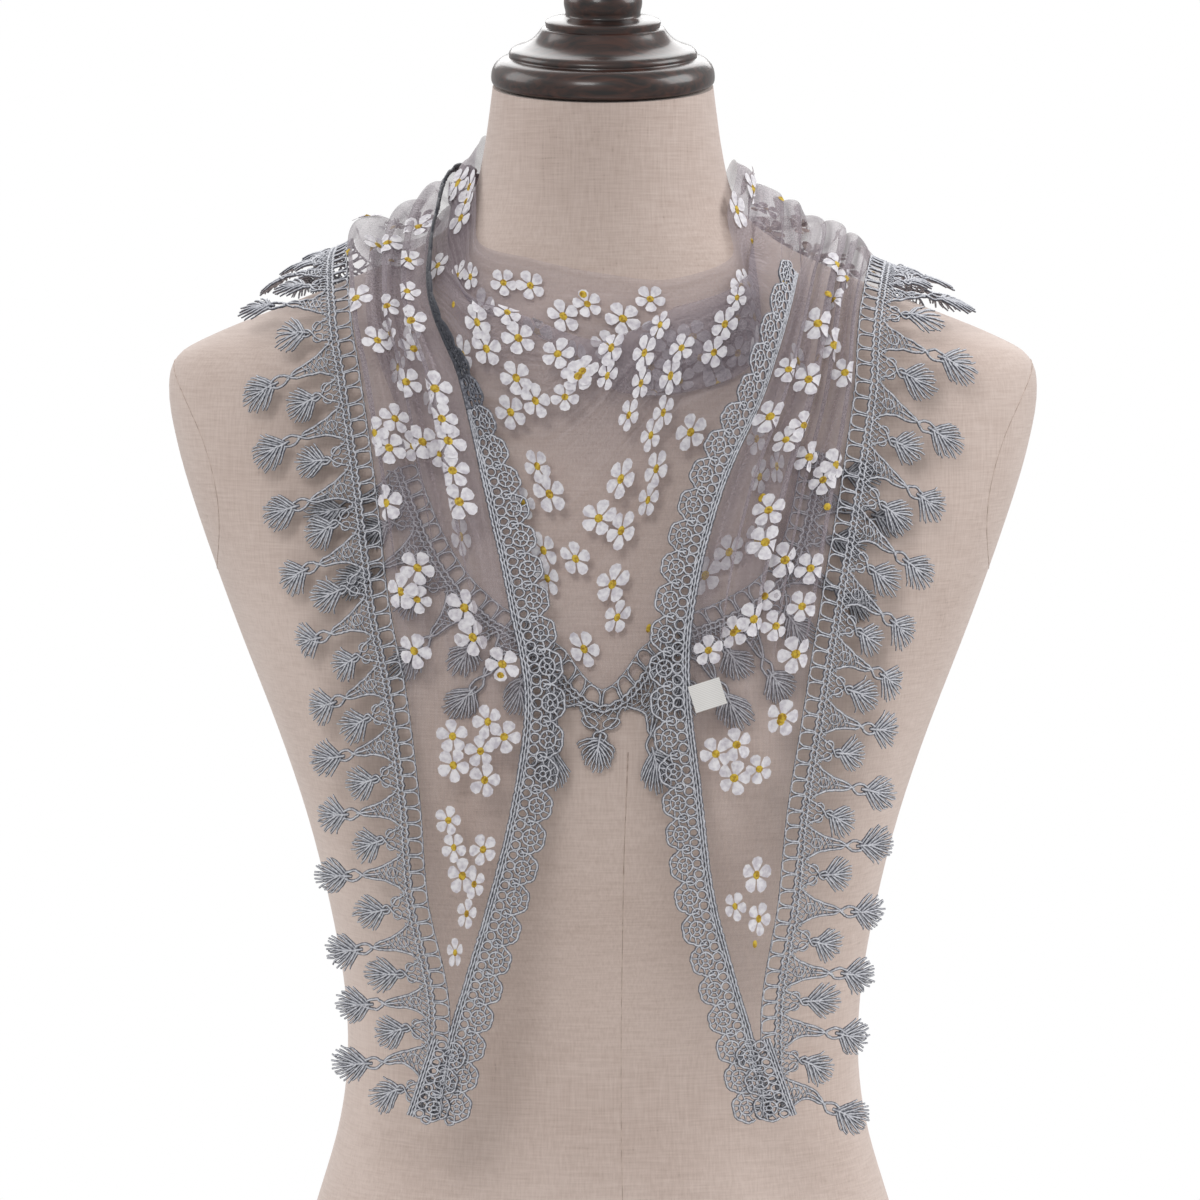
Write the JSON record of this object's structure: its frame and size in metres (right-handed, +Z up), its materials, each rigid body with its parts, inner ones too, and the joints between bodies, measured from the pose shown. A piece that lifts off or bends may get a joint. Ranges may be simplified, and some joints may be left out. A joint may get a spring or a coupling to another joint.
{
  "type": "lace shawl on a dress form",
  "caption": "Sheer grey triangular shawl with scattered white flowers, scalloped lace hem and leaf-pendant lace fringe, wound round a linen dress form with a turned wood neck cap",
  "frame": {"origin": "the middle of the dress form's flat underside", "axes": "+X to the wearer's left, which is the right of the picture, +Y to the back, +Z up; the front faces -Y"},
  "size_m": [0.38, 0.2543, 0.6853],
  "materials": {
    "linen": "matte woven linen",
    "dark_wood": "satin lacquered dark wood",
    "net": "sheer net",
    "lace": "corded thread lace",
    "tape": "woven tape"
  },
  "bodies": {
    "root": {"form_body": "linen", "neck_cap": "dark_wood", "tail_left": "net", "wrap_over": "net", "bib": "net", "wrap_under": "net", "tail_right": "net", "edging_left": "lace", "edging_right": "lace", "edging_neck": "lace", "fringe_left": "lace", "fringe_right": "lace", "fringe_bib": "lace", "fringe_over": "lace", "fringe_under": "lace", "label": "tape"}
  },
  "joints": []
}
